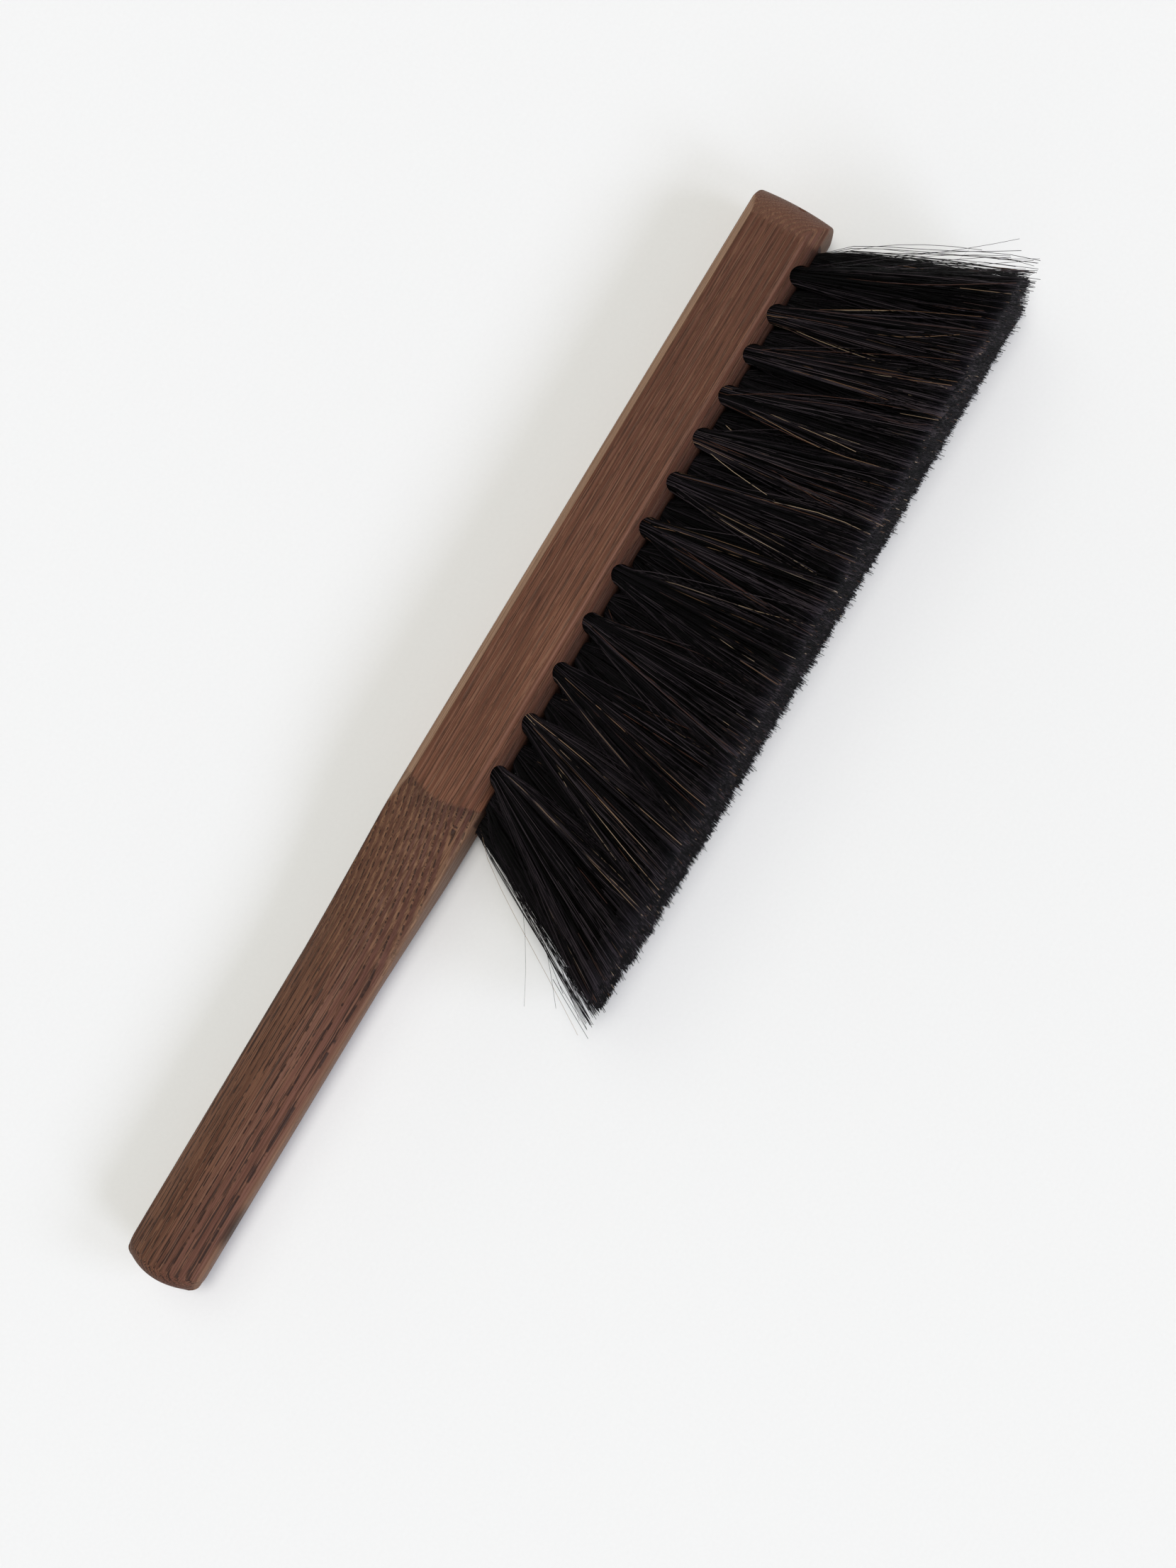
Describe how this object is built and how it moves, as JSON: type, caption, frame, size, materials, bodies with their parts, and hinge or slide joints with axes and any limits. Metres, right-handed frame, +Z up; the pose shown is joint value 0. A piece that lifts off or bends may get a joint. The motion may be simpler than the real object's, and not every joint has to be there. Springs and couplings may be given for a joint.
{
  "type": "bee brush",
  "caption": "Long straight hand brush in dark heat-treated wood with a crowned handle and fanned tufts of black horsehair, lying on its side.",
  "frame": {"origin": "bottom centre of the bounding box of the brush as it lies on its side", "axes": "+X along the wood from the handle's end to the brush's tip, -Y from the wood towards the trimmed hair, +Z up"},
  "size_m": [0.3818, 0.0876, 0.0484],
  "materials": {
    "thermo_wood": "dark reddish brown heat-treated ash, oiled and satin, with fine straight grain, open pores and paler sanded edges",
    "horsehair": "near-black horsehair with a soft gloss and a few brown and cream hairs",
    "draw_wire": "drawn steel wire",
    "plug_wood": "turned plug of the same wood, end grain, sanded"
  },
  "bodies": {
    "root": {"draw_wire_far": "draw_wire", "draw_wire_inner_far": "draw_wire", "draw_wire_inner_near": "draw_wire", "draw_wire_near": "draw_wire", "end_plug_far": "plug_wood", "end_plug_inner_far": "plug_wood", "end_plug_inner_near": "plug_wood", "end_plug_near": "plug_wood", "tuft_far_01": "horsehair", "tuft_far_02": "horsehair", "tuft_far_03": "horsehair", "tuft_far_04": "horsehair", "tuft_far_05": "horsehair", "tuft_far_06": "horsehair", "tuft_far_07": "horsehair", "tuft_far_08": "horsehair", "tuft_far_09": "horsehair", "tuft_far_10": "horsehair", "tuft_far_11": "horsehair", "tuft_far_12": "horsehair", "tuft_inner_far_01": "horsehair", "tuft_inner_far_02": "horsehair", "tuft_inner_far_03": "horsehair", "tuft_inner_far_04": "horsehair", "tuft_inner_far_05": "horsehair", "tuft_inner_far_06": "horsehair", "tuft_inner_far_07": "horsehair", "tuft_inner_far_08": "horsehair", "tuft_inner_far_09": "horsehair", "tuft_inner_far_10": "horsehair", "tuft_inner_far_11": "horsehair", "tuft_inner_far_12": "horsehair", "tuft_inner_far_13": "horsehair", "tuft_inner_near_01": "horsehair", "tuft_inner_near_02": "horsehair", "tuft_inner_near_03": "horsehair", "tuft_inner_near_04": "horsehair", "tuft_inner_near_05": "horsehair", "tuft_inner_near_06": "horsehair", "tuft_inner_near_07": "horsehair", "tuft_inner_near_08": "horsehair", "tuft_inner_near_09": "horsehair", "tuft_inner_near_10": "horsehair", "tuft_inner_near_11": "horsehair", "tuft_inner_near_12": "horsehair", "tuft_inner_near_13": "horsehair", "tuft_near_01": "horsehair", "tuft_near_02": "horsehair", "tuft_near_03": "horsehair", "tuft_near_04": "horsehair", "tuft_near_05": "horsehair", "tuft_near_06": "horsehair", "tuft_near_07": "horsehair", "tuft_near_08": "horsehair", "tuft_near_09": "horsehair", "tuft_near_10": "horsehair", "tuft_near_11": "horsehair", "tuft_near_12": "horsehair", "wood_body": "thermo_wood"}
  },
  "joints": []
}
